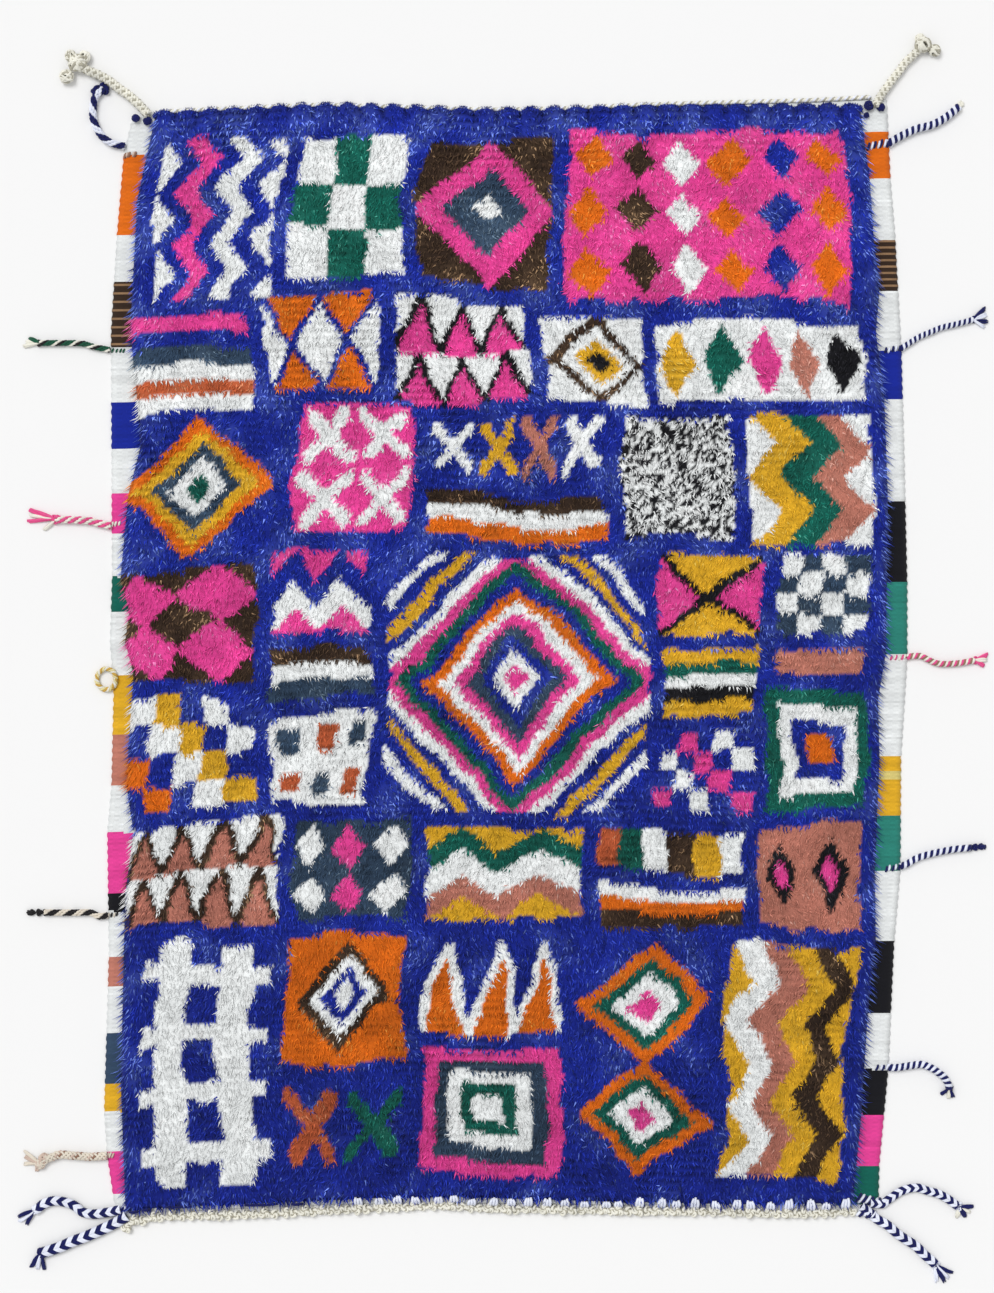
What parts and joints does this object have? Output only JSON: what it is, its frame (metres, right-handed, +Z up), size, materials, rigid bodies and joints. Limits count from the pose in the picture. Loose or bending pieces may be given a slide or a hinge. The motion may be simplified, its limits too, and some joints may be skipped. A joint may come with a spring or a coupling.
{
  "type": "knotted wool rug with tassels",
  "caption": "Hand-knotted wool rug with a deep pile, flat-woven side strips, knotted end cords and braided wool tassels down both sides.",
  "frame": {"origin": "on the floor plane under the middle of the rug, on its flat underside", "axes": "+Z up out of the pile, +Y along the rug's length towards its scalloped end, +X across it"},
  "size_m": [1.8454, 2.3727, 0.0236],
  "materials": {
    "pile_wool": "deep cut wool pile, mostly cobalt blue with coloured panels",
    "ivory_wool": "undyed ivory wool, twisted, plaited and knotted",
    "blue_white_yarn": "navy and white wool braided together",
    "pink_yarn": "pink and ivory wool twisted together",
    "green_yarn": "green, black and ivory wool twisted together",
    "black_yarn": "black and cream wool twisted together",
    "beige_yarn": "beige and brown wool plait",
    "gold_yarn": "pale yellow and gold wool yarn"
  },
  "bodies": {
    "root": {"rug_body": "pile_wool", "top_cord": "ivory_wool", "bottom_knot_cord": "ivory_wool", "side_loop": "gold_yarn", "tassel_left_1": "ivory_wool", "tassel_left_2": "blue_white_yarn", "tassel_left_3": "green_yarn", "tassel_left_4": "pink_yarn", "tassel_left_5": "black_yarn", "tassel_left_6": "beige_yarn", "tassel_left_7": "blue_white_yarn", "tassel_left_8": "blue_white_yarn", "tassel_right_1": "ivory_wool", "tassel_right_2": "blue_white_yarn", "tassel_right_3": "blue_white_yarn", "tassel_right_4": "pink_yarn", "tassel_right_5": "blue_white_yarn", "tassel_right_6": "blue_white_yarn", "tassel_right_7": "blue_white_yarn", "tassel_right_8": "blue_white_yarn"}
  },
  "joints": []
}
